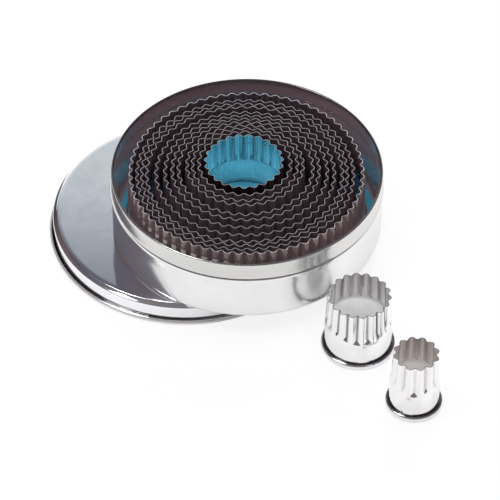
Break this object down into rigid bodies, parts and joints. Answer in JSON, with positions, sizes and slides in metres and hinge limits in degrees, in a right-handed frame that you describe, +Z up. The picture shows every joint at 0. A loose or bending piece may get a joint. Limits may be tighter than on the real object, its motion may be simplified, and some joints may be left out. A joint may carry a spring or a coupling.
{
  "type": "fluted biscuit cutter set",
  "caption": "Nested round fluted biscuit cutters in a drawn tin that stands on its own lid, with two small cutters beside it.",
  "frame": {"origin": "on the table under the middle of the whole group", "axes": "+Z up, +X to the right and +Y away as the group is shown"},
  "size_m": [0.1782, 0.1883, 0.0433],
  "materials": {
    "lid_tinplate": "bright tinplate with fine brushing",
    "tin_tinplate": "bright tinplate, drawn",
    "cutter_tinplate": "bright tinplate, crimped",
    "blue_card": "smooth coated card"
  },
  "bodies": {
    "lid": {"lid": "lid_tinplate"},
    "tin": {"tin": "tin_tinplate"},
    "liner": {"liner": "blue_card"},
    "cutter_01": {"cutter_01": "cutter_tinplate"},
    "cutter_02": {"cutter_02": "cutter_tinplate"},
    "cutter_03": {"cutter_03": "cutter_tinplate"},
    "cutter_04": {"cutter_04": "cutter_tinplate"},
    "cutter_05": {"cutter_05": "cutter_tinplate"},
    "cutter_06": {"cutter_06": "cutter_tinplate"},
    "cutter_07": {"cutter_07": "cutter_tinplate"},
    "cutter_08": {"cutter_08": "cutter_tinplate"},
    "cutter_09": {"cutter_09": "cutter_tinplate"},
    "cutter_10": {"cutter_10": "cutter_tinplate"},
    "cutter_11": {"cutter_11": "cutter_tinplate"},
    "cutter_12": {"cutter_12": "cutter_tinplate"},
    "cutter_13": {"cutter_13": "cutter_tinplate"},
    "cutter_14": {"cutter_14": "cutter_tinplate"}
  },
  "joints": [
    {"name": "tin_lift", "type": "slide", "parent": "lid", "child": "tin", "axis": [0, 0, 1], "range_m": [0, 0.04]},
    {"name": "liner_lift", "type": "slide", "parent": "tin", "child": "liner", "axis": [0, 0, 1], "range_m": [0, 0.034]},
    {"name": "cutter_03_lift", "type": "slide", "parent": "liner", "child": "cutter_03", "axis": [0, 0, 1], "range_m": [0, 0.034]},
    {"name": "cutter_04_lift", "type": "slide", "parent": "cutter_03", "child": "cutter_04", "axis": [0, 0, 1], "range_m": [0, 0.034]},
    {"name": "cutter_05_lift", "type": "slide", "parent": "cutter_04", "child": "cutter_05", "axis": [0, 0, 1], "range_m": [0, 0.034]},
    {"name": "cutter_06_lift", "type": "slide", "parent": "cutter_05", "child": "cutter_06", "axis": [0, 0, 1], "range_m": [0, 0.034]},
    {"name": "cutter_07_lift", "type": "slide", "parent": "cutter_06", "child": "cutter_07", "axis": [0, 0, 1], "range_m": [0, 0.034]},
    {"name": "cutter_08_lift", "type": "slide", "parent": "cutter_07", "child": "cutter_08", "axis": [0, 0, 1], "range_m": [0, 0.034]},
    {"name": "cutter_09_lift", "type": "slide", "parent": "cutter_08", "child": "cutter_09", "axis": [0, 0, 1], "range_m": [0, 0.034]},
    {"name": "cutter_10_lift", "type": "slide", "parent": "cutter_09", "child": "cutter_10", "axis": [0, 0, 1], "range_m": [0, 0.034]},
    {"name": "cutter_11_lift", "type": "slide", "parent": "cutter_10", "child": "cutter_11", "axis": [0, 0, 1], "range_m": [0, 0.034]},
    {"name": "cutter_12_lift", "type": "slide", "parent": "cutter_11", "child": "cutter_12", "axis": [0, 0, 1], "range_m": [0, 0.034]},
    {"name": "cutter_13_lift", "type": "slide", "parent": "cutter_12", "child": "cutter_13", "axis": [0, 0, 1], "range_m": [0, 0.034]},
    {"name": "cutter_14_lift", "type": "slide", "parent": "cutter_13", "child": "cutter_14", "axis": [0, 0, 1], "range_m": [0, 0.034]},
    {"name": "cutter_01_lift", "type": "slide", "parent": "lid", "child": "cutter_01", "axis": [0, 0, 1], "range_m": [0, 0.04]},
    {"name": "cutter_02_lift", "type": "slide", "parent": "lid", "child": "cutter_02", "axis": [0, 0, 1], "range_m": [0, 0.04]}
  ]
}
